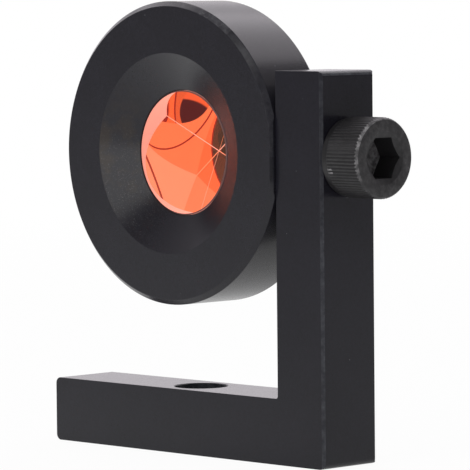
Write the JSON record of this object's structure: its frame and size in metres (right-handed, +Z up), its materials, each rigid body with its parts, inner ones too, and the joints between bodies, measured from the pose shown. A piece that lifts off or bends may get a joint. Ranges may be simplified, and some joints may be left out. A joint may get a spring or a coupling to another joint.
{
  "type": "surveying prism on an l-bar",
  "caption": "Corner-cube surveying prism in a round black housing that tilts on an L-shaped bar, clamped by a socket head screw; the base has a mounting hole.",
  "frame": {"origin": "axis of the base's mounting hole, in the plane of the base's underside", "axes": "+Z up along the mounting hole, +X from the hole towards the upright leg and its clamp screw, -Y the way the prism looks"},
  "size_m": [0.0884, 0.027, 0.092],
  "materials": {
    "bar_black": "black anodised, fine blasted satin",
    "housing_black": "black anodised, turned satin",
    "optical_glass": "polished",
    "copper_layer": "mirror copper coating",
    "seal_rubber": "matte black",
    "ring_metal": "turned, bare",
    "screw_black": "black oxide, oiled"
  },
  "bodies": {
    "bar": {"l_bar": "bar_black"},
    "prism": {"prism_housing": "housing_black", "prism_glass": "optical_glass", "copper_coating": "copper_layer", "bond_ring": "seal_rubber", "cushion_ring": "seal_rubber", "retaining_ring": "ring_metal", "rear_cap": "housing_black", "cap_seal": "seal_rubber"},
    "screw": {"clamp_screw": "screw_black"}
  },
  "joints": [
    {"name": "prism_tilt", "type": "hinge", "parent": "bar", "child": "prism", "pos_m": [0.0297, 0, 0.0612], "axis": [1, 0, 0], "continuous": true},
    {"name": "screw_turn", "type": "hinge", "parent": "bar", "child": "screw", "pos_m": [0.0424, 0, 0.0612], "axis": [1, 0, 0], "range_deg": [0, 360]}
  ]
}
